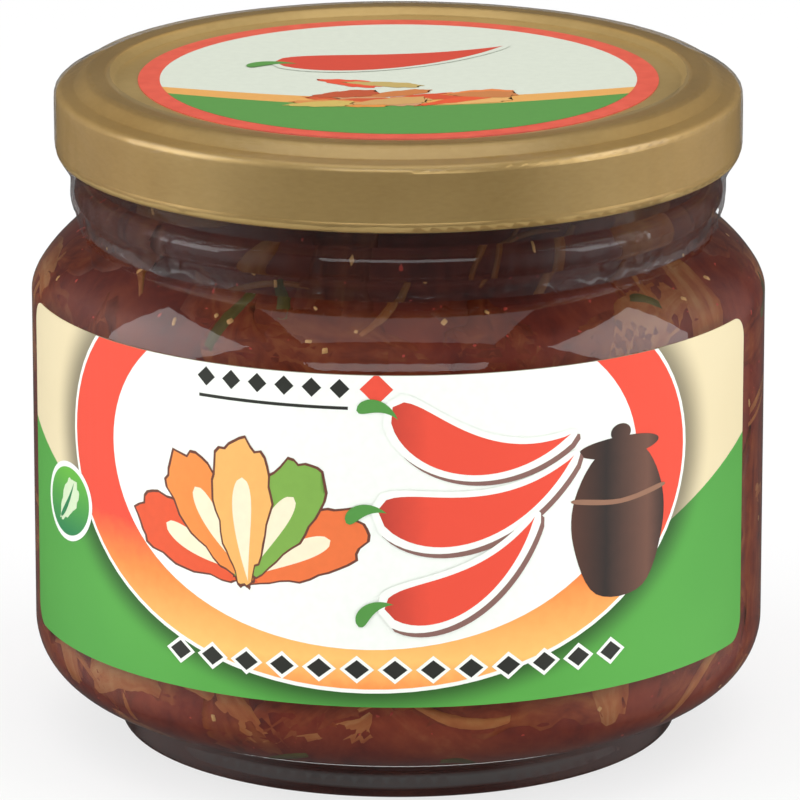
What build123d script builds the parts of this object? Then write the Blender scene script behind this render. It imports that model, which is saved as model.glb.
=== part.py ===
from build123d import *
import math
import os

# A squat wide-mouth glass jar of kimchi, shut with a twist-off metal lid.
# Millimetres, +Z up, the base ring stands on z = 0, the front label faces -Y.

# Overall
HEIGHT = 83.2               # crest of the lid
BODY_RADIUS = 45.7          # outside of the straight wall
LID_RADIUS = 42.4           # outside of the lid's skirt

# Glass
BODY_WALL = 2.7
NECK_WALL = 2.7
FLOOR_THICKNESS = 3.0
FOOT_INSET = 10.7           # foot's outside, in from the straight wall
FOOT_HEIGHT = 5.0
FOOT_NOTCH = 1.0            # ledge between foot and heel
FOOT_EDGE = 0.8             # rounding of the foot's outer edge
BEARING_WIDTH = 2.6         # flat ring that the jar stands on
PUNT_DEPTH = 2.2            # how far the underside is raised inside that ring
PUNT_SLOPE = 3.0
HEEL_HEIGHT = 8.9           # from the foot's top to the straight wall
INNER_HEEL = 8.0            # radius of the curve between floor and wall inside
SHOULDER_HEIGHT = 7.95
SHOULDER_PULL = 2.8         # how far the shoulder keeps the wall's direction
SHOULDER_LIP = 1.1          # how far it keeps the neck's direction
NECK_INSET = 3.4            # neck's outside, in from the lid's skirt
NECK_LENGTH = 4.45          # from the shoulder's top to the bead's centre
BEAD_INSET = 2.1            # bead's outside, in from the lid's skirt
BEAD_SIZE = 2.2             # radius of the bead's section
BEAD_DROP = 4.7             # bead's centre below the lid
FINISH_INSET = 3.8          # mouth's outside, in from the lid's skirt
RIM_OUTER_ROUND = 1.0
RIM_INNER_ROUND = 0.6

# Lid
LID_HEIGHT = 10.1
LID_SHEET = 0.5
PANEL_INSET = 7.3           # sunk round panel's edge, in from the skirt
PANEL_DROP = 1.0            # panel below the crest
RISER_WIDTH = 1.1           # slope from panel to crest
CREST_WIDTH = 2.3
STEP_INSET = 2.2            # groove between crest and knee
STEP_DROP = 1.45
KNEE_DROP = 1.85            # outer edge of the lid's top
KNEE_ROUND = 1.0
CREST_BEND = 0.2            # inside rounding of the crest towards the panel
CREST_ROUND = 0.9           # and towards the skirt
CURL_SIZE = 0.95            # radius of the rolled edge
CURL_PROUD = 0.1            # how far the rolled edge stands out past the skirt

# Contents
HEADSPACE = 5.2             # between the kimchi and the lid's panel
FILL_GAP = 0.05             # between kimchi and glass wall

# Paper labels
PAPER = 0.1
LABEL_GAP = 0.02
LABEL_LOWER_MARGIN = 1.35   # label's lower edge above the heel
LABEL_OVERRUN = 0.75        # label's upper edge past the shoulder's start
LABEL_LEFT = 77.5           # degrees from the front, towards -X
LABEL_RIGHT = 67.5          # degrees from the front, towards +X
LABEL_CORNER = 3.0
LID_LABEL_MARGIN = 2.85     # bare ring of panel round the lid's label

# Shrink band over the lid's edge and the neck
FILM = 0.12
FILM_GAP = 0.06
FILM_OVERLAP = 2.6          # how far it reaches in over the crest
FILM_ROUNDS = (0.8, 1.6, 1.0, 0.6, 1.5)     # its turns, from the crest down to the bead
FILM_SLACK = 0.4            # how far it stands off where it bridges two edges
FILM_TUCK_DROP = 1.7        # where it is drawn in, below the lid
FILM_FLARE = 1.2            # its lower edge, out from the neck
FILM_HANG = 3.1             # its lower edge, below the bead's centre

lid_underside = HEIGHT - LID_SHEET
lid_bottom = HEIGHT - LID_HEIGHT
lid_panel = HEIGHT - PANEL_DROP
panel_radius = LID_RADIUS - PANEL_INSET
crest_radius = panel_radius + RISER_WIDTH + CREST_WIDTH
bead_height = lid_bottom - BEAD_DROP
shoulder_top = bead_height - NECK_LENGTH
shoulder_start = shoulder_top - SHOULDER_HEIGHT
floor_height = PUNT_DEPTH + FLOOR_THICKNESS
fill_level = lid_panel - LID_SHEET - HEADSPACE
foot_radius = BODY_RADIUS - FOOT_INSET
heel_top = FOOT_HEIGHT + HEEL_HEIGHT
neck_radius = LID_RADIUS - NECK_INSET
bead_radius = LID_RADIUS - BEAD_INSET
finish_radius = LID_RADIUS - FINISH_INSET
bore_radius = neck_radius - NECK_WALL
inner_radius = BODY_RADIUS - BODY_WALL


def turned(face):
    """The solid of revolution of a half section drawn on the XZ plane."""
    return revolve(face, Axis.Z, 360)


def at(radius, height):
    """A point of a half section."""
    return Vector(radius, 0, height)


def closed(*edges):
    """The face inside a chain of edges."""
    return make_face(Wire(list(edges)))


def elliptic_corner(start, end, start_is_flat):
    """A quarter ellipse from start to end, level at start and upright at end or the other way."""
    radial, upright = abs(end.X - start.X), abs(end.Z - start.Z)
    k = 4 / 3 * (math.sqrt(2) - 1)
    side = math.copysign(k * radial, end.X - start.X)
    up = math.copysign(k * upright, end.Z - start.Z)
    if start_is_flat:
        return Bezier(start, start + Vector(side, 0, 0), end - Vector(0, 0, up), end)
    return Bezier(start, start + Vector(0, 0, up), end - Vector(side, 0, 0), end)


def cavity(top, gap=0.0):
    """Half section of the jar's inside up to a height, drawn in from the wall by a gap."""
    wall, bore = inner_radius - gap, bore_radius - gap
    floor_end = at(wall - INNER_HEEL, floor_height)
    heel_end = at(wall, floor_height + INNER_HEEL)
    bend = at(wall, shoulder_start)
    neck = at(bore, shoulder_top + SHOULDER_LIP)
    rise = (neck.Z - bend.Z) * 0.55
    return closed(
        Line(at(0, floor_height), floor_end),
        elliptic_corner(floor_end, heel_end, True),
        Line(heel_end, bend),
        Bezier(bend, bend + Vector(0, 0, rise), neck - Vector(0, 0, rise), neck),
        Line(neck, at(bore, top)),
        Line(at(bore, top), at(0, top)),
        Line(at(0, top), at(0, floor_height)),
    )


def glass_outline():
    """Half section of the jar as if it were solid."""
    foot_low = at(foot_radius - FOOT_EDGE, 0)
    bearing_inner = at(foot_radius - FOOT_EDGE - BEARING_WIDTH, 0)
    punt_edge = at(bearing_inner.X - PUNT_SLOPE, PUNT_DEPTH)
    foot_side = at(foot_radius, FOOT_EDGE)
    foot_top = at(foot_radius, FOOT_HEIGHT)
    heel = at(foot_radius + FOOT_NOTCH, FOOT_HEIGHT)
    wall_low = at(BODY_RADIUS, heel_top)
    wall_high = at(BODY_RADIUS, shoulder_start)
    neck = at(neck_radius, shoulder_top)
    return closed(
        Line(at(0, PUNT_DEPTH), punt_edge),
        Bezier(punt_edge, punt_edge + Vector(PUNT_SLOPE / 2, 0, 0),
               bearing_inner - Vector(PUNT_SLOPE / 2, 0, 0), bearing_inner),
        Line(bearing_inner, foot_low),
        elliptic_corner(foot_low, foot_side, True),
        Line(foot_side, foot_top),
        Line(foot_top, heel),
        elliptic_corner(heel, wall_low, True),
        Line(wall_low, wall_high),
        Bezier(wall_high, wall_high + Vector(0, 0, SHOULDER_PULL),
               neck + Vector(SHOULDER_LIP, 0, 0), neck),
        Line(neck, at(neck_radius, bead_height)),
        Line(at(neck_radius, bead_height), at(finish_radius, bead_height)),
        Line(at(finish_radius, bead_height), at(finish_radius, lid_underside - RIM_OUTER_ROUND)),
        elliptic_corner(at(finish_radius, lid_underside - RIM_OUTER_ROUND),
                        at(finish_radius - RIM_OUTER_ROUND, lid_underside), False),
        Line(at(finish_radius - RIM_OUTER_ROUND, lid_underside), at(0, lid_underside)),
        Line(at(0, lid_underside), at(0, PUNT_DEPTH)),
    )


def jar_glass():
    """Jar with foot, heel, straight wall, shoulder, neck bead and open mouth."""
    bead = Plane.XZ * Pos(bead_radius - BEAD_SIZE, bead_height) * Circle(BEAD_SIZE)
    flare = closed(
        Line(at(bore_radius, lid_underside - RIM_INNER_ROUND),
             at(0, lid_underside - RIM_INNER_ROUND)),
        Line(at(0, lid_underside - RIM_INNER_ROUND), at(0, lid_underside)),
        Line(at(0, lid_underside), at(bore_radius + RIM_INNER_ROUND, lid_underside)),
        Bezier(at(bore_radius + RIM_INNER_ROUND, lid_underside),
               at(bore_radius, lid_underside),
               at(bore_radius, lid_underside - RIM_INNER_ROUND)),
    )
    body = turned(glass_outline()) + turned(bead)
    return body - turned(cavity(lid_underside)) - turned(flare)


def kimchi():
    """Contents, from the glass floor up to the fill level."""
    return turned(cavity(fill_level, FILL_GAP))


def lid_skin():
    """The lid's outside from the centre to the foot of its skirt, as one line."""
    points = [
        at(0, lid_panel),
        at(panel_radius, lid_panel),
        at(panel_radius + RISER_WIDTH, HEIGHT),
        at(crest_radius, HEIGHT),
        at(LID_RADIUS - STEP_INSET, HEIGHT - STEP_DROP),
        at(LID_RADIUS, HEIGHT - KNEE_DROP),
        at(LID_RADIUS, lid_bottom + CURL_SIZE),
    ]
    crest_inner_round = LID_SHEET + CREST_BEND
    crest_outer_round = LID_SHEET + CREST_ROUND
    rounds = [LID_SHEET, crest_inner_round, crest_outer_round, LID_SHEET, KNEE_ROUND]
    return FilletPolyline(*points, radius=rounds)


def wall_from(line, thickness):
    """The band of the given thickness on the inner or lower side of a half section's line."""
    path = Plane.XZ.to_local_coords(Wire(line.edges()))
    inner = path.offset_2d(thickness, side=Side.RIGHT, closed=True)
    return Plane.XZ * make_face(inner)


def lid():
    """Twist-off lid of sheet metal: sunk panel, raised ring, step, skirt and rolled edge."""
    curl_centre = (LID_RADIUS + CURL_PROUD - CURL_SIZE, lid_bottom + CURL_SIZE)
    curl = Plane.XZ * Pos(*curl_centre) * Circle(CURL_SIZE)
    return turned(wall_from(lid_skin(), LID_SHEET)) + turned(curl)


def lid_label():
    """Round paper label on the lid's panel."""
    disc = Cylinder(panel_radius - LID_LABEL_MARGIN, PAPER)
    return Pos(0, 0, lid_panel + PAPER / 2) * disc


def front_label():
    """Paper label round the front of the straight wall, with rounded corners."""
    inner = BODY_RADIUS + LABEL_GAP
    outer = inner + PAPER
    bottom = heel_top + LABEL_LOWER_MARGIN
    top = shoulder_start + LABEL_OVERRUN
    section = closed(
        Line(at(inner, bottom), at(outer, bottom)),
        Line(at(outer, bottom), at(outer, top)),
        Line(at(outer, top), at(inner, top)),
        Line(at(inner, top), at(inner, bottom)),
    )
    sheet = revolve(section, Axis.Z, LABEL_LEFT + LABEL_RIGHT)
    sheet = Rot(0, 0, -90 - LABEL_LEFT) * sheet
    straight = sheet.edges().filter_by(GeomType.LINE)
    corners = [edge for edge in straight if abs(edge.length - PAPER) < PAPER / 10]
    return fillet(corners, LABEL_CORNER)


def shrink_band():
    """Clear film over the lid's edge, drawn in under the lid and round the neck bead."""
    skirt = LID_RADIUS + CURL_PROUD + FILM_GAP + FILM
    bead = bead_radius + FILM_GAP + FILM
    top = HEIGHT + FILM_GAP + FILM
    points = [
        at(crest_radius - FILM_OVERLAP, top),
        at(crest_radius + FILM_SLACK, top),
        at(skirt, HEIGHT - KNEE_DROP + FILM_SLACK),
        at(skirt, lid_bottom + CURL_SIZE / 2),
        at(bead + FILM_SLACK, lid_bottom - FILM_TUCK_DROP),
        at(bead, bead_height),
        at(neck_radius + FILM_FLARE, bead_height - FILM_HANG),
    ]
    line = FilletPolyline(*points, radius=FILM_ROUNDS)
    return turned(wall_from(line, FILM))


def main():
    os.makedirs("parts", exist_ok=True)
    for piece in (jar_glass, kimchi, lid, lid_label, front_label, shrink_band):
        solid = piece()
        name = piece.__name__
        export_step(solid, f"parts/{name}.step")
        print(name, round(solid.volume, 1))


main()
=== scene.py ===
import bpy
import bmesh
import math
import random
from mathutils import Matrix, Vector, noise


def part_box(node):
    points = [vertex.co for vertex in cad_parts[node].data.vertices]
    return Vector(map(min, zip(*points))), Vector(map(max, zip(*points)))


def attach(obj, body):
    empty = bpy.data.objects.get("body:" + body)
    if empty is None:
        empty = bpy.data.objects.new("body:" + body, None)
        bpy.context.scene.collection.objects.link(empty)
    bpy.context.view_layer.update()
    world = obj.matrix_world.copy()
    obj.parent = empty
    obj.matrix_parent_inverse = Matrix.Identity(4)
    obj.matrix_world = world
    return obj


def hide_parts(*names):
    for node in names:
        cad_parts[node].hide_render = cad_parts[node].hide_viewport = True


# A full jar of kimchi: glass, contents, gold lid, printed labels and clear shrink film.
# Metres, +Z up, the front label faces -Y. Label prints are drawn in millimetres: round the wall
# to the right of the front and up, or across and back on the lid.

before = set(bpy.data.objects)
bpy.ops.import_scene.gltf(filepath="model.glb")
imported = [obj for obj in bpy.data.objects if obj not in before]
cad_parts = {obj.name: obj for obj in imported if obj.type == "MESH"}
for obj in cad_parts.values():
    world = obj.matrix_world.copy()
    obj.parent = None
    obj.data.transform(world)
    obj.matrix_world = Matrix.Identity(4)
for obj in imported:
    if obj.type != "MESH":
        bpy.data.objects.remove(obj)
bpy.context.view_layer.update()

MM = 0.001

# Sizes read from the frame
glass_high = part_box("jar_glass")[1]
kimchi_low, kimchi_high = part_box("kimchi")
lid_low, lid_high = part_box("lid")
label_low, label_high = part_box("front_label")
lid_label_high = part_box("lid_label")[1]

BODY_R = glass_high.x
INNER_R = kimchi_high.x
LID_R = lid_high.x
CREST_Z = lid_high.z
LID_BOTTOM = lid_low.z
FLOOR_Z = kimchi_low.z
FILL_Z = kimchi_high.z
LID_PAPER_Z = lid_label_high.z
LID_PAPER_R = lid_label_high.x
LABEL_R = BODY_R + 0.12 * MM        # outside of the front label's paper

# The jar's inside, where the boxes don't give it
SHOULDER_START = 56.0 * MM          # top of the straight wall
NECK_TOP = 65.05 * MM               # where the shoulder has become the neck
BORE_R = 36.3 * MM
INNER_HEEL = 8.0 * MM
SHOULDER_PULL = 0.55                # length of the curve's handles, as a share of its height

# Contents
MASS_REACH = 0.15 * MM              # how far the mass reaches into the glass
WALL_STEP = 0.6 * MM                # spacing of the points that pieces are laid by
UV_SCALE = 10 * MM                  # one unit of a piece's UV map

# Shrink film
FILM_GAP = 0.05 * MM
HEM_TOP = 66.6 * MM                 # below this height the hem is ragged
HEM_DEPTH = 1.9 * MM
HEM_RAG = 1.3 * MM                  # how far the rag moves the hem up or down
FOLD_HEIGHT = 9 * MM                # the folds grow over this height below the lid

# Front label's print
OVAL_X = -4.0
OVAL_Z = 44.0
OVAL_HALF_WIDTH = 43.0
OVAL_HALF_HEIGHT = 26.5
RING_WIDTH = 8.0
RING_DEPTH = 4.6                    # the ring is thinner above and below than at its sides
PRINT_LAYER = 0.01 * MM             # rise from one printed layer to the next
PAPER_EDGE = 0.05 * MM              # print stops this far inside the paper's edges
SCORE_STEP = 1.5 * MM               # flat print is scored this often, so that it bends
SCORES = range(-41, 36)             # from the label's left end to its right


# ---------------------------------------------------------------- node trees

class Nodes:
    """A node tree being put together: each call adds a node and gives its output."""

    def __init__(self, tree, output):
        self.tree = tree
        self.output = tree.nodes[output]

    def node(self, kind, inputs=(), **settings):
        made = self.tree.nodes.new(kind)
        for key, value in settings.items():
            setattr(made, key, value)
        for key, value in dict(inputs).items():
            if isinstance(value, bpy.types.NodeSocket):
                self.tree.links.new(value, made.inputs[key])
            else:
                made.inputs[key].default_value = value
        return made

    def math(self, operation, *values, clamp=False):
        made = self.node("ShaderNodeMath", enumerate(values), operation=operation, use_clamp=clamp)
        return made.outputs[0]

    def spread(self, value, low, high, out_low=0.0, out_high=1.0, smooth=False):
        """The value taken from one range to another, and held at its ends."""
        made = self.node("ShaderNodeMapRange",
                         {0: value, 1: low, 2: high, 3: out_low, 4: out_high}, clamp=True)
        if smooth:
            made.interpolation_type = "SMOOTHSTEP"
        return made.outputs[0]

    def mix_shaders(self, share, first, second):
        return self.node("ShaderNodeMixShader", {0: share, 1: first, 2: second}).outputs[0]

    def surface(self, shader):
        self.tree.links.new(shader, self.output.inputs["Surface"])


class Finish(Nodes):
    """A material, with a principled shader to start from."""

    def __init__(self, name, colour=(0.8, 0.8, 0.8), rough=0.5, **sockets):
        self.material = bpy.data.materials.new(name)
        self.material.use_nodes = True
        super().__init__(self.material.node_tree, "Material Output")
        self.shader = self.tree.nodes["Principled BSDF"]
        self.shader.inputs["Base Color"].default_value = (*colour, 1)
        self.shader.inputs["Roughness"].default_value = rough
        for socket, value in sockets.items():
            self.shader.inputs[socket.replace("_", " ")].default_value = value

    def place(self, scale=(1, 1, 1)):
        """Object coordinates, scaled."""
        origin = self.node("ShaderNodeTexCoord").outputs["Object"]
        return self.node("ShaderNodeMapping", {"Vector": origin, "Scale": scale}).outputs[0]

    def axes(self):
        """The x, y and z outputs of the object coordinates."""
        origin = self.node("ShaderNodeTexCoord").outputs["Object"]
        return self.node("ShaderNodeSeparateXYZ", {0: origin}).outputs

    def around(self):
        """Millimetres round the wall from the front, to the right, and millimetres up."""
        x, y, z = self.axes()
        angle = self.math("ARCTAN2", x, self.math("MULTIPLY", y, -1.0))
        return (self.math("MULTIPLY", angle, BODY_R / MM), self.math("DIVIDE", z, MM))

    def noise(self, scale, detail=3.0, rough=0.5, vector=None, distortion=0.0):
        where = vector if vector is not None else self.place()
        made = self.node("ShaderNodeTexNoise", {"Vector": where, "Scale": scale, "Detail": detail,
                                                "Roughness": rough, "Distortion": distortion})
        return made.outputs["Fac"]

    def blended(self, first, share, second):
        """Two values added, the first by a share and the second by what is left."""
        return self.math("ADD", self.math("MULTIPLY", first, share),
                         self.math("MULTIPLY", second, 1 - share))

    def ramp(self, value, *stops):
        made = self.node("ShaderNodeValToRGB", {0: value})
        elements = made.color_ramp.elements
        while len(elements) < len(stops):
            elements.new(0.5)
        for element, (position, colour) in zip(elements, stops):
            element.position = position
            element.color = (*colour, 1)
        return made.outputs[0]

    def mottled(self, scale, dark, light):
        return self.ramp(self.noise(scale, 2.0), (0.3, dark), (0.7, light))

    def mix(self, share, first, second, blend="MIX"):
        made = self.node("ShaderNodeMix", data_type="RGBA", blend_type=blend)
        for key, value in (("Factor_Float", share), ("A_Color", first), ("B_Color", second)):
            socket = next(s for s in made.inputs if s.identifier == key)
            if isinstance(value, bpy.types.NodeSocket):
                self.tree.links.new(value, socket)
            else:
                socket.default_value = value
        return next(s for s in made.outputs if s.identifier == "Result_Color")

    def dimmed(self, colour, share):
        """The colour times a share from 0 to 1."""
        grey = self.ramp(share, (0, (0, 0, 0)), (1, (1, 1, 1)))
        return self.mix(1.0, colour, grey, "MULTIPLY")

    def colour(self, socket):
        self.tree.links.new(socket, self.shader.inputs["Base Color"])

    def roughness(self, socket):
        self.tree.links.new(socket, self.shader.inputs["Roughness"])

    def bump(self, height, distance, strength=1.0):
        made = self.node("ShaderNodeBump", {"Height": height, "Distance": distance,
                                            "Strength": strength})
        self.tree.links.new(made.outputs[0], self.shader.inputs["Normal"])

    def blend_with(self, other, share):
        """Puts another shader over the principled one by a share."""
        self.surface(self.mix_shaders(share, self.shader.outputs[0], other))

    def lets_lamps_through(self):
        ray = self.node("ShaderNodeLightPath").outputs["Is Shadow Ray"]
        self.blend_with(self.node("ShaderNodeBsdfTransparent").outputs[0], ray)


# ---------------------------------------------------------------- finishes

def glass_finish():
    """Clear soda glass, very slightly uneven."""
    finish = Finish("clear_glass", (0.97, 0.985, 0.97), 0.0, IOR=1.5, Transmission_Weight=1.0)
    finish.bump(finish.noise(55.0, 2.0), distance=0.00025, strength=0.25)
    finish.lets_lamps_through()
    return finish.material


def gold_finish():
    """Gold lacquer on tinplate: a fine grain with cloudy patches of gloss."""
    finish = Finish("gold_lacquer", (0.5, 0.34, 0.13), 0.34, Metallic=0.5)
    grain = finish.noise(1.0, 4.0, vector=finish.place((900, 900, 2600)))
    cloud = finish.noise(60.0, 3.0)
    shade = finish.blended(grain, 0.35, cloud)
    finish.colour(finish.ramp(shade, (0.3, (0.5, 0.335, 0.12)), (0.7, (0.6, 0.42, 0.165))))
    finish.roughness(finish.spread(cloud, 0.3, 0.7, 0.28, 0.38))
    finish.bump(grain, distance=0.00002, strength=0.25)
    return finish.material


def paper_finish():
    """Cream ground over a green field with a curved upper edge, shaded round the oval."""
    finish = Finish("label_paper", (0.8, 0.78, 0.7), 0.42)
    around, up = finish.around()
    cream = finish.mottled(30.0, (0.74, 0.63, 0.39), (0.79, 0.69, 0.45))
    green = finish.mottled(30.0, (0.07, 0.33, 0.045), (0.09, 0.38, 0.055))
    from_middle = finish.math("SUBTRACT", around, OVAL_X)
    green_top = finish.math("MULTIPLY_ADD", finish.math("ABSOLUTE", from_middle), 0.42, 17.5)
    ground = finish.mix(finish.math("LESS_THAN", up, green_top), cream, green)
    across = finish.math("DIVIDE", from_middle, OVAL_HALF_WIDTH)
    above = finish.math("DIVIDE", finish.math("SUBTRACT", up, OVAL_Z), OVAL_HALF_HEIGHT)
    squares = finish.math("ADD", finish.math("MULTIPLY", across, across),
                          finish.math("MULTIPLY", above, above))
    shadow = finish.spread(finish.math("SQRT", squares), 1.0, 1.14, 0.32, 1.0, smooth=True)
    finish.colour(finish.dimmed(ground, shadow))
    return finish.material


def lid_paper_finish():
    finish = Finish("lid_paper", (0.72, 0.1, 0.06), 0.4)
    finish.colour(finish.mottled(500.0, (0.66, 0.085, 0.05), (0.74, 0.11, 0.065)))
    return finish.material


def shaded_by_height(finish, tone):
    """The contents' colour with painted shade: darker towards the neck, and darker low down where it is
    seen through the thick glass of the foot.
    """
    height = finish.axes()[2]
    neck_shade = finish.spread(height, 52 * MM, 66 * MM, 1.0, 0.42)
    foot_shade = finish.spread(height, 4 * MM, 13 * MM, 0.12, 0.85)
    return finish.dimmed(tone, finish.math("MULTIPLY", neck_shade, foot_shade))


def kimchi_finish():
    """Red pepper brine and pulp between the larger pieces."""
    finish = Finish("kimchi_mass", (0.14, 0.04, 0.02), 0.45, Specular_IOR_Level=0.2)
    broad = finish.noise(70.0, 5.0, 0.62, distortion=0.8)
    fine = finish.noise(420.0, 3.0, 0.6)
    tone = finish.ramp(finish.blended(broad, 0.75, fine),
                       (0.3, (0.1, 0.011, 0.006)), (0.46, (0.23, 0.028, 0.012)),
                       (0.6, (0.33, 0.055, 0.02)), (0.76, (0.46, 0.14, 0.05)))
    # painted shade: the mass's colour is darkened towards the neck and towards the foot
    finish.colour(shaded_by_height(finish, tone))
    return finish.material


def vegetable_finish(name, dark, middle, light):
    """Wet vegetable stained by the red brine; veins run along the piece."""
    finish = Finish(name, middle, 0.4, Specular_IOR_Level=0.2)
    uv = finish.node("ShaderNodeTexCoord").outputs["UV"]
    stretched = finish.node("ShaderNodeMapping", {"Vector": uv, "Scale": (1.0, 5.0, 1.0)})
    veins = finish.noise(1.0, 3.0, 0.6, stretched.outputs[0], 0.4)
    stain = finish.noise(240.0, 3.0, 0.6)
    tone = finish.ramp(finish.blended(veins, 0.5, stain), (0.32, dark), (0.5, middle), (0.68, light))
    # painted shade: the pieces' colour is darkened towards the neck and towards the foot
    finish.colour(shaded_by_height(finish, tone))
    finish.bump(veins, distance=0.00008, strength=0.4)
    return finish.material


def plain_finish(name, colour):
    """One colour with a faint grain, as of ink on paper."""
    finish = Finish(name, colour, 0.45)
    light = tuple(min(1.0, c * 1.02) for c in colour)
    dark = tuple(c * 0.975 for c in colour)
    finish.colour(finish.mottled(900.0, dark, light))
    return finish.material


def graded_finish(name, stops, low, high, axis):
    """A printed colour graded round the wall (axis 0) or up it (axis 1), between two places."""
    finish = Finish(name, stops[0][1], 0.42)
    share = finish.spread(finish.around()[axis], low, high)
    grain = finish.math("MULTIPLY_ADD", finish.noise(700.0, 2.0), 0.05, -0.025)
    finish.colour(finish.ramp(finish.math("ADD", share, grain), *stops))
    return finish.material


def film_finish():
    """Clear crumpled film: see-through, with a gloss that grows towards its edges."""
    finish = Finish("clear_film")
    finish.tree.nodes.remove(finish.shader)
    crumple = finish.noise(1.0, 4.0, 0.65, finish.place((90, 90, 260)), 0.5)
    fold = finish.node("ShaderNodeBump", {"Height": crumple, "Distance": 0.0006, "Strength": 0.5})
    gloss = finish.node("ShaderNodeBsdfAnisotropic", {"Color": (1, 1, 1, 1), "Roughness": 0.16,
                                                      "Normal": fold.outputs[0]})
    clear = finish.node("ShaderNodeBsdfTransparent")
    fresnel = finish.node("ShaderNodeFresnel", {"IOR": 1.4}).outputs[0]
    share = finish.math("MULTIPLY", fresnel, 0.8, clamp=True)
    finish.surface(finish.mix_shaders(share, clear.outputs[0], gloss.outputs[0]))
    return finish.material


def dress_cad():
    """Finishes for the CAD nodes whose shape stays."""
    for node, finish, slot in (("jar_glass", glass_finish(), "glass"),
                               ("lid", gold_finish(), "gold_lacquer"),
                               ("front_label", paper_finish(), "label_paper"),
                               ("lid_label", lid_paper_finish(), "label_paper")):
        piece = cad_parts[node]
        piece.data.materials.clear()
        piece.data.materials.append(finish)


# ---------------------------------------------------------------- shaping

def finished(piece, finish):
    piece.data.materials.clear()
    piece.data.materials.append(finish)
    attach(piece, "root")
    return piece


def new_object(name, data):
    made = bpy.data.objects.new(name, data)
    bpy.context.scene.collection.objects.link(made)
    return made


def turned(name, outline, sides, closed):
    """A turned shape: a ring at the first (radius, height) of the outline, extruded along it."""
    bpy.ops.object.select_all(action="DESELECT")
    radius, height = outline[0]
    bpy.ops.mesh.primitive_circle_add(vertices=sides, radius=radius, location=(0, 0, height),
                                      fill_type="NGON" if closed else "NOTHING")
    piece = bpy.context.object
    piece.name = name
    bpy.ops.object.transform_apply(location=True)
    bpy.ops.object.mode_set(mode="EDIT")
    bpy.ops.mesh.select_all(action="SELECT")
    for next_radius, next_height in outline[1:]:
        bpy.ops.mesh.extrude_edges_move(
            TRANSFORM_OT_translate={"value": (0, 0, next_height - height)})
        scale = next_radius / radius
        bpy.ops.transform.resize(value=(scale, scale, 1), center_override=(0, 0, next_height))
        radius, height = next_radius, next_height
    if closed:
        bpy.ops.mesh.edge_face_add()
    bpy.ops.mesh.select_all(action="SELECT")
    bpy.ops.mesh.normals_make_consistent(inside=False)
    bpy.ops.object.mode_set(mode="OBJECT")
    bpy.ops.object.shade_smooth_by_angle(angle=math.radians(35))
    return piece


def quarter_round(start, end, steps):
    """Points of a quarter ellipse after its start, level there and upright at its end."""
    points = []
    for step in range(1, steps + 1):
        turn = math.pi / 2 * step / steps
        points.append((start[0] + (end[0] - start[0]) * math.sin(turn),
                       start[1] + (end[1] - start[1]) * (1 - math.cos(turn))))
    return points


def bezier(start, first_handle, second_handle, end, steps):
    """Points of a Bezier curve after its start."""
    corners = (start, first_handle, second_handle, end)
    points = []
    for step in range(1, steps + 1):
        t = step / steps
        weights = ((1 - t) ** 3, 3 * t * (1 - t) ** 2, 3 * t * t * (1 - t), t ** 3)
        points.append(tuple(sum(w * corner[axis] for w, corner in zip(weights, corners))
                            for axis in (0, 1)))
    return points


def cavity(reach):
    """Outline of the jar's inside from the floor's centre to the fill level, reaching into the wall."""
    wall, bore = INNER_R + reach, BORE_R + reach
    floor = FLOOR_Z - reach
    handle = (NECK_TOP - SHOULDER_START) * SHOULDER_PULL
    points = [(1 * MM, floor), (wall - INNER_HEEL, floor)]
    points += quarter_round(points[-1], (wall, floor + INNER_HEEL), 8)
    points += [(wall, SHOULDER_START)]
    points += bezier((wall, SHOULDER_START), (wall, SHOULDER_START + handle),
                     (bore, NECK_TOP - handle), (bore, NECK_TOP), 10)
    points += [(bore, FILL_Z)]
    return points


def make_kimchi_mass():
    piece = turned("kimchi_mass", cavity(MASS_REACH), 192, closed=True)
    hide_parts("kimchi")
    return finished(piece, kimchi_finish())


# ---------------------------------------------------------------- shrink film

def film_outline():
    """Down the film: the lid's top, its edge and skirt, then drawn in to the neck and the hem."""
    skirt = LID_R + FILM_GAP
    top = CREST_Z + 2 * FILM_GAP
    points = [(radius * MM, top) for radius in (35.6, 37.0, 38.6)]
    points += bezier(points[-1], (39.6 * MM, top), (40.4 * MM, top - 1.2 * MM),
                     (LID_R - 0.5 * MM, top - 1.7 * MM), 5)
    points += bezier(points[-1], (LID_R - 0.1 * MM, top - 2.0 * MM), (skirt, top - 2.2 * MM),
                     (skirt, top - 3.2 * MM), 4)
    points += [(skirt, top - drop * MM) for drop in (4.5, 5.8, 7.1, 8.4)]
    points += bezier(points[-1], (skirt, LID_BOTTOM + 0.3 * MM), (41.3 * MM, LID_BOTTOM - 0.6 * MM),
                     (40.75 * MM, LID_BOTTOM - 2.0 * MM), 7)
    points += bezier(points[-1], (40.3 * MM, 69.8 * MM), (40.9 * MM, 68.2 * MM),
                     (40.2 * MM, HEM_TOP), 7)
    points += bezier(points[-1], (39.7 * MM, 66.0 * MM), (39.5 * MM, 65.4 * MM),
                     (39.8 * MM, 64.7 * MM), 5)
    return points


def ring_noise(turn, waves, height):
    """Smooth noise that meets itself round a ring; more waves make it finer."""
    return noise.noise(Vector((math.cos(turn) * waves, math.sin(turn) * waves, height)))


def film_shift(turn, height):
    """How far the film is pushed out at a turn and height; the folds grow below the lid."""
    below = min(1.0, max(0.0, (LID_BOTTOM + 1.5 * MM - height) / FOLD_HEIGHT))
    folds = ring_noise(turn, 7, height * 90)
    creases = 1 - abs(ring_noise(turn, 16, height * 60))
    loose = 0.1 + 0.55 * below ** 2
    return (0.12 + loose * (0.5 * folds + 0.9 * (creases - 0.75))) * MM


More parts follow.
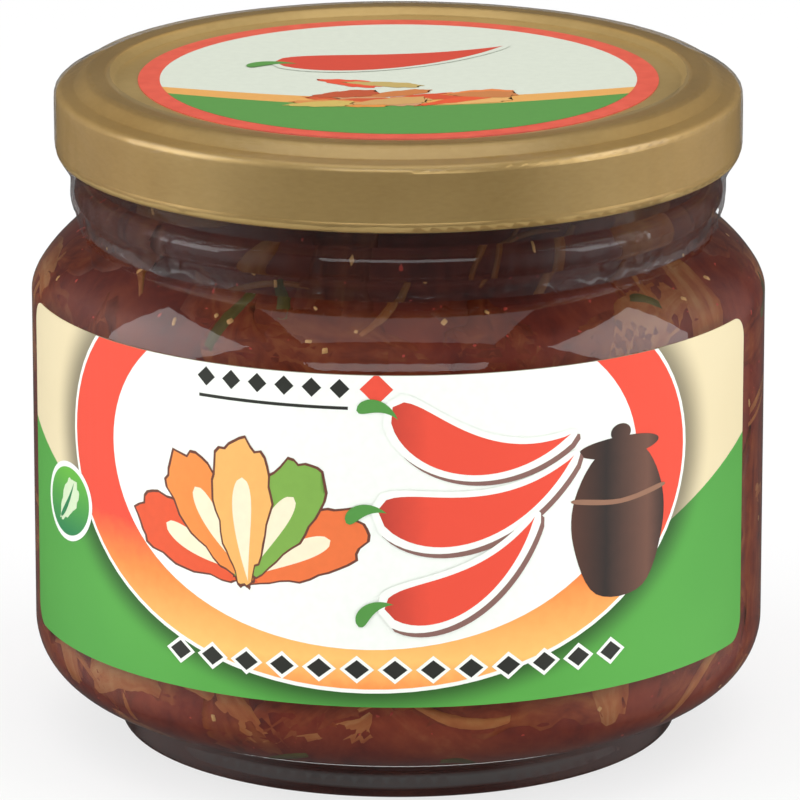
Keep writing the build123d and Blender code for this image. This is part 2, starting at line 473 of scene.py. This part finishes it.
def hem_shift(turn, height):
    """How far the ragged hem hangs lower at a turn, from nothing at its top."""
    hem = max(0.0, (HEM_TOP - height) / HEM_DEPTH)
    rag = ring_noise(turn, 5, 3.0) + 0.5 * ring_noise(turn, 19, 5.0)
    return rag * hem * HEM_RAG


def make_film():
    """Clear film over the lid's edge, drawn in below it and crumpled towards its ragged hem."""
    piece = turned("shrink_film", film_outline(), 480, closed=False)
    for vertex in piece.data.vertices:
        x, y, z = vertex.co
        turn = math.atan2(x, -y)
        radius = math.hypot(x, y)
        out = (radius + film_shift(turn, z)) / radius
        vertex.co = Vector((x * out, y * out, z - hem_shift(turn, z)))
    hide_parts("shrink_band")
    return finished(piece, film_finish())


# ---------------------------------------------------------------- contents against the glass

def even_line(outline, step):
    """The outline again with points an even step apart."""
    points, left = [outline[0]], step
    for (r0, z0), (r1, z1) in zip(outline, outline[1:]):
        length = math.hypot(r1 - r0, z1 - z0)
        while left <= length:
            points.append((r0 + (r1 - r0) * left / length, z0 + (z1 - z0) * left / length))
            left += step
        left -= length
    return points


WALL_LINE = even_line(cavity(0.0)[1:], WALL_STEP)
WALL_LENGTH = (len(WALL_LINE) - 1) * WALL_STEP


def wall_point(turn, travel, reach):
    """A point on the jar's inside: its turn, its share of the way from foot to neck, its reach."""
    steps = travel * (len(WALL_LINE) - 1)
    index = max(0, min(len(WALL_LINE) - 2, int(steps)))
    share = steps - index
    (r0, z0), (r1, z1) = WALL_LINE[index], WALL_LINE[index + 1]
    length = math.hypot(r1 - r0, z1 - z0)
    radius = r0 + (r1 - r0) * share + reach * (z1 - z0) / length
    height = z0 + (z1 - z0) * share - reach * (r1 - r0) / length
    return Vector((radius * math.sin(turn), -radius * math.cos(turn), height))


def turned_by(lean, a, b):
    """A flat place turned by a lean."""
    return a * math.cos(lean) - b * math.sin(lean), a * math.sin(lean) + b * math.cos(lean)


def pressed_piece(rng, number, length, width, reach, steps, frill):
    """One piece's points and UVs: a frilled, bowed patch at a random place and lean on the wall."""
    turn = rng.uniform(-math.pi, math.pi)
    travel = rng.uniform(0.02, 0.97)
    lean = rng.gauss(0, 0.9)
    half_length = length * rng.uniform(0.55, 1.3) / 2
    half_width = width * rng.uniform(0.6, 1.3) / 2
    bow = rng.uniform(-0.35, 0.35)
    lift = reach * rng.uniform(0.5, 1.0)
    along, across = steps
    points, uvs = [], []
    for i in range(along + 1):
        u = 2 * i / along - 1
        for k in range(across + 1):
            v = 2 * k / across - 1
            side_frill = frill * noise.noise(Vector((u * 3, v * 2, number * 7.3)))
            end_frill = frill * 0.6 * noise.noise(Vector((v * 3, number * 3.1, 1.0)))
            a = u * half_length * (1 + end_frill)
            b = v * half_width * (1 - 0.45 * u * u + side_frill) + bow * half_length * (u * u - 0.3)
            inside = (1 - u ** 4) * (1 - v ** 4)        # 1 in the middle, 0 at the edges
            ripple = noise.noise(Vector((u * 2.2, v * 2.6, number * 1.7)))
            high = lift * min(1.0, 2.2 * inside) + 0.08 * MM * ripple * inside
            high -= 0.3 * MM * (1 - min(1.0, 6 * inside))
            sideways, upwards = turned_by(lean, a, b)
            place = min(0.995, max(0.0, travel + upwards / WALL_LENGTH))
            points.append(wall_point(turn + sideways / INNER_R, place, high))
            uvs.append((u * half_length / UV_SCALE + number, v * half_width / UV_SCALE))
    return points, uvs


def grid_faces(start, along, across):
    row = across + 1
    corners = (start + i * row + k for i in range(along) for k in range(across))
    return [(first, first + row, first + row + 1, first + 1) for first in corners]


def pressed_pieces(name, finish, seed, count, length, width, reach, steps, frill):
    """Pieces that lie flat against the glass, all in one mesh. Lengths are in millimetres."""
    rng = random.Random(seed)
    points, faces, uvs = [], [], []
    for number in range(count):
        more_points, more_uvs = pressed_piece(rng, number, length * MM, width * MM, reach * MM,
                                              steps, frill)
        faces += grid_faces(len(points), *steps)
        points += more_points
        uvs += more_uvs
    mesh = bpy.data.meshes.new(name)
    mesh.from_pydata(points, [], faces)
    layer = mesh.uv_layers.new(name="along")
    for loop in mesh.loops:
        layer.data[loop.index].uv = uvs[loop.vertex_index]
    mesh.shade_smooth()
    return finished(new_object(name, mesh), finish)


def make_contents():
    """Cabbage leaves and ribs, radish, scallion and pepper, from the largest to the smallest."""
    leaf = vegetable_finish("leaf", (0.13, 0.016, 0.007), (0.29, 0.05, 0.016), (0.42, 0.12, 0.035))
    rib = vegetable_finish("rib", (0.34, 0.06, 0.018), (0.5, 0.16, 0.05), (0.62, 0.3, 0.12))
    radish = vegetable_finish("radish", (0.36, 0.08, 0.022), (0.52, 0.17, 0.05), (0.62, 0.28, 0.09))
    scallion = vegetable_finish("scallion", (0.09, 0.05, 0.012), (0.16, 0.12, 0.028),
                                (0.26, 0.22, 0.06))
    flake = plain_finish("flake", (0.46, 0.03, 0.012))
    seed = plain_finish("seed", (0.62, 0.34, 0.12))
    pressed_pieces("leaf_pieces", leaf, seed=3, count=150, length=24, width=13, reach=0.26,
                   steps=(16, 9), frill=0.5)
    pressed_pieces("rib_pieces", rib, seed=5, count=70, length=19, width=8, reach=0.34,
                   steps=(12, 7), frill=0.25)
    pressed_pieces("radish_shreds", radish, seed=7, count=60, length=15, width=1.8, reach=0.4,
                   steps=(10, 4), frill=0.1)
    pressed_pieces("scallion_pieces", scallion, seed=11, count=26, length=9, width=3.0, reach=0.38,
                   steps=(8, 4), frill=0.2)
    pressed_pieces("pepper_flakes", flake, seed=13, count=700, length=1.5, width=1.1, reach=0.42,
                   steps=(2, 2), frill=0.5)
    pressed_pieces("pepper_seeds", seed, seed=17, count=170, length=1.5, width=1.3, reach=0.46,
                   steps=(3, 3), frill=0.1)


# ---------------------------------------------------------------- outlines for print

def smooth_loop(points, steps=6):
    """A closed smooth line through a few points."""
    made, count = [], len(points)
    for index in range(count):
        a, b, c, d = (Vector(points[(index + k) % count]) for k in (-1, 0, 1, 2))
        for step in range(steps):
            t = step / steps
            made.append(0.5 * (2 * b + (c - a) * t + (2 * a - 5 * b + 4 * c - d) * t * t
                               + (3 * b - a - 3 * c + d) * t ** 3))
    return made


def ellipse(x, z, half_width, half_height, lean=0.0, steps=96):
    made = []
    for step in range(steps):
        turn = math.tau * step / steps
        across, up = turned_by(lean, half_width * math.cos(turn), half_height * math.sin(turn))
        made.append(Vector((x + across, z + up)))
    return made


def lozenge(x, z, half_width, half_height):
    return ellipse(x, z, half_width, half_height, steps=4)


def pod(x, z, length, width, lean, bend, grow=0.0, steps=28):
    """A long tapering pod, such as a chili: its outline, curved along its length."""
    sides = ([], [])
    for step in range(steps + 1):
        t = step / steps
        turn = lean + bend * (t - 0.3)
        along = (t - 0.5) * (length + 2 * grow)
        middle = Vector((x + along * math.cos(turn), z + along * math.sin(turn)))
        taper = math.sin(math.pi * min(1.0, t * 1.02) ** 0.62) ** 0.8 * (1 - 0.35 * t)
        half = width / 2 * taper + grow if 0 < step < steps else grow * 0.4
        normal = Vector((-math.sin(turn), math.cos(turn)))
        sides[0].append(middle + normal * half)
        sides[1].append(middle - normal * half)
    return sides[0] + sides[1][::-1]


def frilled_leaf(x, z, length, width, lean, frill, seed, steps=44):
    """A leaf, broader at its far end, with two frills of different pitch round its edge."""
    made = []
    for step in range(steps):
        turn = math.tau * step / steps
        wave = 1 + frill * math.sin(turn * 9 + seed) + 0.6 * frill * math.sin(turn * 15 + seed * 2)
        along = length / 2 * math.cos(turn) * wave
        out = width / 2 * math.sin(turn) * (0.75 + 0.35 * math.cos(turn)) * wave
        across, up = turned_by(lean, along, out)
        made.append(Vector((x + across, z + up)))
    return made


def round_segment(radius, chord, dip, arc_steps=60, line_steps=24):
    """The part of a round field below a chord, whose line dips in the middle."""
    turn = math.asin(chord / radius)
    sweep = math.pi + 2 * turn
    angles = (math.pi - turn + sweep * step / arc_steps for step in range(arc_steps + 1))
    arc = [Vector((radius * math.cos(angle), radius * math.sin(angle))) for angle in angles]
    line = []
    for step in range(1, line_steps):
        t = step / line_steps
        line.append(arc[-1].lerp(arc[0], t) + Vector((0, dip * math.sin(math.pi * t))))
    return arc + line


# ---------------------------------------------------------------- printing

def flat_shapes(shapes):
    """Outlines in millimetres made into flat faces that stand upright."""
    flat = bmesh.new()
    for outline in shapes:
        flat.faces.new([flat.verts.new((p[0] * MM, 0, p[1] * MM)) for p in outline])
    bmesh.ops.triangulate(flat, faces=flat.faces[:])
    return flat


def cut_to_label(flat):
    """Cuts flat shapes off at the label's upper and lower edges, and scores them to bend."""
    cuts = [((0, 0, label_high.z - PAPER_EDGE), (0, 0, 1), True),
            ((0, 0, label_low.z + PAPER_EDGE), (0, 0, -1), True)]
    cuts += [((score * SCORE_STEP, 0, 0), (1, 0, 0), False) for score in SCORES]
    for where, normal, cut_off in cuts:
        parts = flat.verts[:] + flat.edges[:] + flat.faces[:]
        bmesh.ops.bisect_plane(flat, geom=parts, dist=1e-7, plane_co=where, plane_no=normal,
                               clear_outer=cut_off)


def printed(name, flat, finish, outward):
    """Makes a piece of placed shapes, whose faces are turned to where outward says."""
    bmesh.ops.recalc_face_normals(flat, faces=flat.faces[:])
    if sum((face.normal.dot(outward(face)) for face in flat.faces), 0.0) < 0:
        bmesh.ops.reverse_faces(flat, faces=flat.faces[:])
    mesh = bpy.data.meshes.new(name)
    flat.to_mesh(mesh)
    flat.free()
    return finished(new_object(name, mesh), finish)


def wall_print(name, layer, finish, *shapes):
    """Print on the front label, wrapped round the wall. Layers count from the paper outwards."""
    flat = flat_shapes(shapes)
    cut_to_label(flat)
    radius = LABEL_R + layer * PRINT_LAYER
    for vertex in flat.verts:
        turn = vertex.co.x / BODY_R
        vertex.co = Vector((radius * math.sin(turn), -radius * math.cos(turn), vertex.co.z))
    return printed(name, flat, finish, lambda face: face.calc_center_median())


def lid_print(name, layer, finish, *shapes):
    """Print on the lid's round label. Layers count from the paper upwards."""
    flat = flat_shapes(shapes)
    height = LID_PAPER_Z + layer * PRINT_LAYER
    for vertex in flat.verts:
        vertex.co = Vector((vertex.co.x, vertex.co.z, height))
    return printed(name, flat, finish, lambda face: Vector((0, 0, 1)))


# ---------------------------------------------------------------- front label

WHITE = (0.84, 0.88, 0.82)
RED = (0.79, 0.065, 0.03)
DARK_RED = (0.2, 0.014, 0.014)
ORANGE = (0.9, 0.26, 0.05)
YELLOW = (0.88, 0.52, 0.14)
INK = (0.028, 0.03, 0.024)
RING_TONES = ((0.0, ORANGE), (0.1, YELLOW), (0.3, ORANGE), (0.45, RED), (1.0, RED))
CLAY_TONES = ((0, (0.1, 0.04, 0.025)), (0.35, (0.03, 0.02, 0.017)), (0.8, (0.16, 0.07, 0.045)),
              (1, (0.04, 0.022, 0.018)))
BADGE_DARK = (0.02, 0.22, 0.07)
BADGE_LIGHT = (0.12, 0.45, 0.04)

# The fan of leaves, from left to right
FAN_TONES = ((0.76, 0.09, 0.025), (0.84, 0.26, 0.05), (0.85, 0.44, 0.12), (0.2, 0.4, 0.06),
             (0.8, 0.16, 0.035))
FAN_X = -19
FAN_Z = 31
FAN_R = 7.5                         # from the fan's foot to a leaf's middle
FAN_START = 158                     # degrees, the first leaf's lean
FAN_STEP = 33

CHILIES = (dict(x=9.5, z=46.5, length=24, width=6.4, lean=-0.35, bend=0.7),
           dict(x=10.5, z=39.0, length=26, width=7.0, lean=0.1, bend=0.6),
           dict(x=9.0, z=30.5, length=22, width=6.0, lean=0.42, bend=0.55))
CHILI_EDGE = 0.8
BADGE_X = -49.5
BADGE_Z = 34.0
POT_X = 28.5


def make_oval(white):
    """A white oval in a ring that goes from red above to yellow below."""
    ring = graded_finish("print_ring", RING_TONES, 17.0, 57.0, axis=1)
    wide, high = OVAL_HALF_WIDTH, OVAL_HALF_HEIGHT
    wall_print("oval_outline", 1, white, ellipse(OVAL_X, OVAL_Z, wide + 0.5, high + 0.5))
    wall_print("oval_ring", 2, ring, ellipse(OVAL_X, OVAL_Z, wide, high))
    wall_print("oval_field", 3, white,
               ellipse(OVAL_X, OVAL_Z + 0.4, wide - RING_WIDTH, high - RING_DEPTH))


def make_leaf_print():
    """A fan of napa cabbage leaves, pale at the rib and stained red and orange at the frill."""
    line = plain_finish("print_leaf_line", (0.16, 0.05, 0.03))
    rib = plain_finish("print_leaf_rib", (0.86, 0.78, 0.56))
    middle = len(FAN_TONES) // 2
    for number, tone in enumerate(FAN_TONES):
        lean = math.radians(FAN_START - FAN_STEP * number)
        x = FAN_X + FAN_R * math.cos(lean)
        z = FAN_Z + FAN_R * math.sin(lean)
        layer = 4 + 2 * (middle - abs(number - middle))
        wall_print(f"leaf_line_{number}", layer, line,
                   frilled_leaf(x, z, 18.6, 9.8, lean, 0.05, number))
        wall_print(f"leaf_{number}", layer + 0.5, plain_finish(f"print_leaf_{number}", tone),
                   frilled_leaf(x, z, 17.9, 9.1, lean, 0.05, number))
        wall_print(f"leaf_rib_{number}", layer + 1, rib,
                   pod(x - 2 * math.cos(lean), z - 2 * math.sin(lean), 13, 2.8, lean + math.pi, 0.1))


def make_chili_print(white):
    """Red chilies with a white edge and a thin shadow line, dark towards their stalks."""
    red = graded_finish("print_chili", ((0, DARK_RED), (0.45, RED), (1, RED)), -8.0, 18.0, axis=0)
    shadow = plain_finish("print_line", (0.24, 0.12, 0.1))
    green = plain_finish("print_stalk", (0.08, 0.3, 0.05))
    for number, chili in enumerate(CHILIES):
        layer = 10 + number * 4
        dropped = dict(chili, x=chili["x"] + 0.5, z=chili["z"] - 0.6)
        wall_print(f"chili_shadow_{number}", layer, shadow, pod(**dropped, grow=0.75))
        wall_print(f"chili_edge_{number}", layer + 1, white, pod(**chili, grow=CHILI_EDGE))
        wall_print(f"chili_{number}", layer + 2, red, pod(**chili))
        turn = chili["lean"] - 0.3 * chili["bend"]
        foot_x = chili["x"] - chili["length"] / 2 * math.cos(turn)
        foot_z = chili["z"] - chili["length"] / 2 * math.sin(turn)
        wall_print(f"chili_stalk_{number}", layer + 3, green,
                   pod(foot_x - 1.6, foot_z, 5.5, 1.9, turn + 0.5, -0.8))


def make_pot_print():
    """A dark earthenware storage pot with a flat lid and one pale band."""
    clay = graded_finish("print_clay", CLAY_TONES, 21.5, 35.5, axis=0)
    body = smooth_loop([(25.0, 27.5), (32.0, 27.5), (35.2, 34.0), (35.0, 40.0), (31.6, 45.2),
                        (25.6, 45.2), (22.0, 40.0), (21.8, 34.0)])
    band = smooth_loop([(22.2, 39.2), (POT_X, 38.4), (34.9, 39.2), (34.9, 39.8), (POT_X, 39.0),
                        (22.2, 39.8)])
    wall_print("pot_body", 6, clay, body)
    wall_print("pot_lid", 7, clay, ellipse(POT_X, 45.5, 6.0, 1.3))
    wall_print("pot_knob", 7, clay, ellipse(POT_X, 47.3, 1.5, 1.1))
    wall_print("pot_band", 8, plain_finish("print_band", (0.3, 0.15, 0.09)), band)


def make_badge(white):
    """A green badge with one leaf."""
    green = graded_finish("print_badge", ((0, BADGE_DARK), (1, BADGE_LIGHT)), 30, 38, axis=1)
    wall_print("badge_edge", 4, white, ellipse(BADGE_X, BADGE_Z, 6.0, 5.0, 0.3))
    wall_print("badge", 5, green, ellipse(BADGE_X, BADGE_Z, 5.3, 4.3, 0.3))
    wall_print("badge_leaf", 6, plain_finish("print_pale", (0.62, 0.75, 0.5)),
               frilled_leaf(BADGE_X, BADGE_Z, 7.0, 4.4, 0.9, 0.06, 1.0))
    wall_print("badge_rib", 7, plain_finish("print_badge_rib", BADGE_DARK),
               pod(BADGE_X, BADGE_Z, 6.6, 0.8, 0.9, 0.2))


def make_ornaments(white, ink):
    """Rows of lozenges where a label has its words."""
    low_row = [-28 + step * 4.6 for step in range(13)]
    top_row = [-24 + step * 3.4 for step in range(6)]
    wall_print("band_edge", 4, white, *(lozenge(x, 20.0, 2.1, 1.75) for x in low_row))
    wall_print("band_lozenges", 5, ink, *(lozenge(x, 20.0, 1.5, 1.2) for x in low_row))
    wall_print("top_lozenges", 5, ink, *(lozenge(x, 55.0, 1.2, 1.2) for x in top_row))
    wall_print("top_gem", 5, plain_finish("print_gem", RED), lozenge(-2.6, 55.0, 2.0, 2.0))
    wall_print("top_rules", 4, ink, [(-25, 52.4), (-6, 52.4), (-6, 52.8), (-25, 52.8)])


def make_front_print():
    white = plain_finish("print_white", WHITE)
    ink = plain_finish("print_ink", INK)
    make_oval(white)
    make_leaf_print()
    make_chili_print(white)
    make_pot_print()
    make_badge(white)
    make_ornaments(white, ink)


# ---------------------------------------------------------------- lid's label

LID_BORDER = 2.7                    # the red rim's width
HEAP_TONES = ((0.7, 0.1, 0.03), (0.72, 0.26, 0.06), (0.7, 0.4, 0.14))


def make_leaf_heap():
    """Pickled leaves strewn over the edge of the green field."""
    rng = random.Random(8)
    for number in range(16):
        leaf = frilled_leaf(rng.uniform(-11, 11), -8.5 + rng.uniform(-6, 6), rng.uniform(8, 13),
                            rng.uniform(3, 5), rng.uniform(-0.5, 0.6), 0.07, rng.uniform(0, 6))
        tone = tuple(c * rng.uniform(0.7, 1.05) for c in HEAP_TONES[number % len(HEAP_TONES)])
        name = f"lid_leaf_{number}"
        lid_print(name, 4 + 0.2 * number, plain_finish(name, tone), leaf)


def make_lid_print():
    """White field in the red rim, a green foot with leaves, and one chili above."""
    white = plain_finish("lid_white", (0.62, 0.66, 0.56))
    green = plain_finish("lid_green", (0.1, 0.3, 0.06))
    gold = plain_finish("lid_gold", (0.72, 0.36, 0.09))
    red = plain_finish("lid_red", (0.62, 0.06, 0.03))
    field = LID_PAPER_R / MM - LID_BORDER
    chili = dict(x=0, z=9, length=31, width=9.5, lean=0.2, bend=0.5)
    lid_print("lid_field", 1, white, ellipse(0, 0, field, field))
    lid_print("lid_gold_band", 2, gold, round_segment(field, -5.0, -6.0))
    lid_print("lid_green_field", 3, green, round_segment(field, -8.5, -6.5))
    make_leaf_heap()
    lid_print("lid_chili_edge", 8, white, pod(**chili, grow=CHILI_EDGE))
    lid_print("lid_chili", 9, red, pod(**chili))
    lid_print("lid_chili_stalk", 10, green, pod(-16, 7.6, 7, 2.4, 0.4, -0.8))


# ---------------------------------------------------------------- studio

STUDIO_AIM = Vector((0, 0, 0.045))
CAMERA_AIM = Vector((0.0002, 0, 0.04082))
CAMERA_RISE = 15.735
CAMERA_DISTANCE = 0.9325
CAMERA_LENS = 334.8


def aimed(thing, aim, azimuth, elevation, distance):
    """Places a lamp or camera: degrees to the right of the front, degrees up, metres away."""
    turn, rise = math.radians(azimuth), math.radians(elevation)
    away = Vector((math.sin(turn) * math.cos(rise), -math.cos(turn) * math.cos(rise),
                   math.sin(rise)))
    thing.location = aim + away * distance
    thing.rotation_euler = (-away).to_track_quat("-Z", "Y").to_euler()


def make_floor():
    """A white floor that glows a little to the camera and isn't mirrored in the jar."""
    bpy.ops.object.select_all(action="DESELECT")
    bpy.ops.mesh.primitive_plane_add(size=4.0, location=(0, 0, -0.0001))
    floor = bpy.context.object
    floor.name = "studio_floor"
    finish = Finish("studio_floor", (0.85, 0.85, 0.85), 0.8)
    ray = finish.node("ShaderNodeLightPath").outputs
    seen = finish.math("MAXIMUM", ray["Is Camera Ray"], ray["Is Transmission Ray"])
    glow = finish.node("ShaderNodeEmission", {"Color": (1, 1, 1, 1), "Strength": 1.0})
    finish.blend_with(glow.outputs[0], finish.math("MULTIPLY", seen, 0.7))
    floor.data.materials.append(finish.material)
    floor.visible_glossy = False


def make_world():
    """White light all round; what mirrors it sees little in front and behind, and more at the sides."""
    world = bpy.data.worlds.new("studio")
    bpy.context.scene.world = world
    world.use_nodes = True
    nodes = Nodes(world.node_tree, "World Output")

    def white_light(strength):
        return nodes.node("ShaderNodeBackground", {"Color": (1, 1, 1, 1),
                                                   "Strength": strength}).outputs[0]

    ray = nodes.node("ShaderNodeLightPath").outputs
    direction = nodes.node("ShaderNodeTexCoord").outputs["Generated"]
    across = nodes.node("ShaderNodeSeparateXYZ", {0: direction}).outputs["X"]
    mirrored = nodes.spread(nodes.math("ABSOLUTE", across), 0.55, 0.95, 0.08, 0.56)
    seen = nodes.math("MAXIMUM", ray["Is Camera Ray"], ray["Is Transmission Ray"])
    light = nodes.mix_shaders(seen, white_light(0.82), white_light(0.8))
    nodes.surface(nodes.mix_shaders(ray["Is Glossy Ray"], light, white_light(mirrored)))


def make_lamp(name, azimuth, elevation, distance, size, radiance):
    """A soft panel aimed at the jar's middle; its radiance is how bright it looks."""
    data = bpy.data.lights.new(name, "AREA")
    data.shape = "RECTANGLE"
    data.size, data.size_y = size
    data.energy = radiance * math.pi * data.size * data.size_y
    lamp = new_object(name, data)
    aimed(lamp, STUDIO_AIM, azimuth, elevation, distance)


def make_camera():
    data = bpy.data.cameras.new("camera")
    data.sensor_width = 36.0
    data.lens = CAMERA_LENS
    data.clip_start, data.clip_end = 0.05, 20.0
    camera = new_object("camera", data)
    aimed(camera, CAMERA_AIM, 0, CAMERA_RISE, CAMERA_DISTANCE)
    bpy.context.scene.camera = camera


def make_studio():
    make_floor()
    make_world()
    make_lamp("front_panel", azimuth=0, elevation=32, distance=1.2, size=(1.1, 0.35), radiance=2.2)
    make_lamp("left_panel", azimuth=-82, elevation=25, distance=1.2, size=(0.8, 1.0), radiance=2.4)
    make_lamp("right_panel", azimuth=82, elevation=25, distance=1.2, size=(0.8, 1.0), radiance=2.4)
    make_lamp("top_panel", azimuth=0, elevation=88, distance=1.1, size=(1.0, 1.0), radiance=0.8)
    make_camera()
    bpy.context.scene.view_settings.view_transform = "Standard"


dress_cad()
make_kimchi_mass()
make_contents()
make_film()
make_front_print()
make_lid_print()
make_studio()
